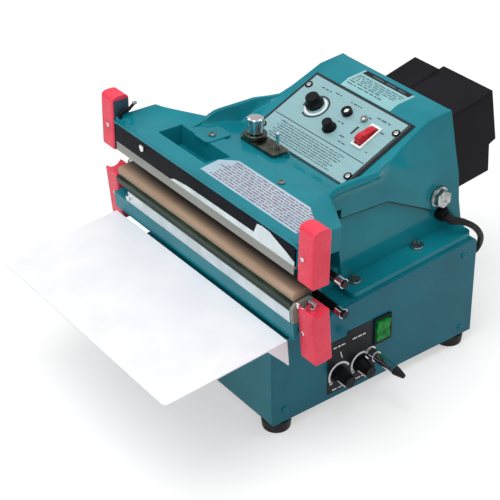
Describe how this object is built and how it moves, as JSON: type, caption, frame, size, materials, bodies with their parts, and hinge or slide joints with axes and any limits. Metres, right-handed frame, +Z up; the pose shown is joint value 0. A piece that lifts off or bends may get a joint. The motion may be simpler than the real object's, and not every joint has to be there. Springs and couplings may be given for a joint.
{
  "type": "bench heat sealer",
  "caption": "Bench heat sealer with a magnet-driven upper jaw on a hinged arm, a sloping control panel, a work tray and side dials on a sheet-metal base.",
  "frame": {"origin": "floor level under the middle of the machine's outline", "axes": "+Z up, +X to the operator's right, +Y from the operator to the back of the machine"},
  "size_m": [0.393, 0.533, 0.2887],
  "materials": {
    "teal_paint": "gloss teal paint",
    "side_paint": "gloss teal paint",
    "white_paint": "smooth white paint",
    "bare_steel": "plain machined steel",
    "chrome": "polished plating",
    "aluminium": "bright extruded aluminium",
    "panel_foil": "printed metal foil",
    "black_plastic": "moulded black plastic",
    "black_rod": "black-oxide steel",
    "rubber": "soft black rubber",
    "red_plastic": "moulded red plastic",
    "cloth": "brown non-stick glass cloth",
    "green_plastic": "lit green rocker",
    "switch_red": "lit red rocker",
    "white_plastic": "moulded white plastic",
    "lamp": "milky lens",
    "winding": "taped copper winding",
    "board": "green circuit board"
  },
  "bodies": {
    "base": {"base_shell": "teal_paint", "side_panel_right": "side_paint", "side_panel_left": "side_paint", "bottom_plate": "bare_steel", "foot_front_left": "rubber", "foot_front_right": "rubber", "foot_rear_left": "rubber", "foot_rear_right": "rubber", "mains_bezel": "black_plastic", "dial_potentiometer_front": "bare_steel", "dial_potentiometer_rear": "bare_steel", "foot_switch_socket": "chrome", "plug_collar": "chrome", "plug_body": "chrome", "plug_boot": "rubber", "timer_board": "board", "magnet_frame": "bare_steel", "magnet_coil": "winding", "return_spring": "bare_steel", "frame_casting": "teal_paint", "lower_jaw_rail": "aluminium", "lower_insulator": "black_plastic", "lower_sealing_bar": "cloth", "lower_cap_right": "red_plastic", "lower_cap_left": "red_plastic", "work_tray": "white_paint", "cable_gland": "black_plastic", "cable_lead": "rubber", "lead_grommet": "rubber"},
    "arm": {"arm_casting": "teal_paint", "upper_jaw_strip": "black_plastic", "upper_sealing_lip": "cloth", "upper_cap_right": "red_plastic", "upper_cap_left": "red_plastic", "adjuster_plate": "chrome", "adjuster_base": "black_plastic", "guide_pin": "chrome", "pivot_shaft": "bare_steel", "pivot_bolt_right": "chrome", "pivot_bolt_left": "chrome", "rear_cover": "black_plastic", "transformer": "bare_steel", "control_panel": "panel_foil", "timer_potentiometer": "bare_steel", "fuse_holder": "black_plastic", "power_lamp": "lamp", "seal_lamp": "lamp", "power_bezel": "white_plastic"},
    "mains_switch": {"mains_rocker": "green_plastic"},
    "front_dial": {"dial_knob_front": "black_plastic"},
    "rear_dial": {"dial_knob_rear": "black_plastic"},
    "drive": {"magnet_plunger": "bare_steel"},
    "lower_roller": {"lower_cloth_rod": "black_rod"},
    "upper_roller": {"upper_cloth_rod": "black_rod"},
    "timer": {"timer_knob": "black_plastic"},
    "fuse": {"fuse_cap": "black_plastic"},
    "power_switch": {"power_rocker": "switch_red"},
    "adjuster": {"adjuster_knob": "chrome"}
  },
  "joints": [
    {"name": "arm_hinge", "type": "hinge", "parent": "base", "child": "arm", "pos_m": [0, 0.1371, 0.19495], "axis": [1, 0, 0], "range_deg": [0, 6], "stiffness_Nm_per_rad": 20, "springref_deg": -14.32},
    {"name": "drive_slide", "type": "slide", "parent": "base", "child": "drive", "axis": [0, 0, 1], "range_m": [-0.0079, 0], "deforming": ["return_spring"]},
    {"name": "mains_switch_tilt", "type": "hinge", "parent": "base", "child": "mains_switch", "pos_m": [0.1313, 0.03575, 0.0774], "axis": [0, 1, 0], "range_deg": [0, 12]},
    {"name": "front_dial_turn", "type": "hinge", "parent": "base", "child": "front_dial", "pos_m": [0.131, -0.02275, 0.0415], "axis": [1, 0, 0], "range_deg": [-150, 150]},
    {"name": "rear_dial_turn", "type": "hinge", "parent": "base", "child": "rear_dial", "pos_m": [0.131, 0.00625, 0.0415], "axis": [1, 0, 0], "range_deg": [-150, 150]},
    {"name": "lower_roller_turn", "type": "hinge", "parent": "base", "child": "lower_roller", "pos_m": [0, -0.0727, 0.17908], "axis": [1, 0, 0], "continuous": true},
    {"name": "upper_roller_turn", "type": "hinge", "parent": "arm", "child": "upper_roller", "pos_m": [0, -0.07272, 0.21518], "axis": [1, 0, 0], "continuous": true},
    {"name": "timer_turn", "type": "hinge", "parent": "arm", "child": "timer", "pos_m": [-0.043, 0.08102, 0.26566], "axis": [0, -0.3969, 0.9179], "range_deg": [-150, 150]},
    {"name": "fuse_cap_turn", "type": "hinge", "parent": "arm", "child": "fuse", "pos_m": [0.001, 0.06587, 0.25911], "axis": [0, -0.3969, 0.9179], "range_deg": [0, 60]},
    {"name": "power_switch_tilt", "type": "hinge", "parent": "arm", "child": "power_switch", "pos_m": [0.0495, 0.07709, 0.26592], "axis": [1, 0, 0], "range_deg": [-12, 0]},
    {"name": "adjuster_turn", "type": "hinge", "parent": "arm", "child": "adjuster", "pos_m": [-0.0447, -0.00208, 0.26365], "axis": [0, 0.0349, 0.9994], "range_deg": [-720, 720]}
  ],
  "couplings": [
    {"joint": "drive_slide", "follows": "arm_hinge", "m_per_rad": -0.0739}
  ]
}
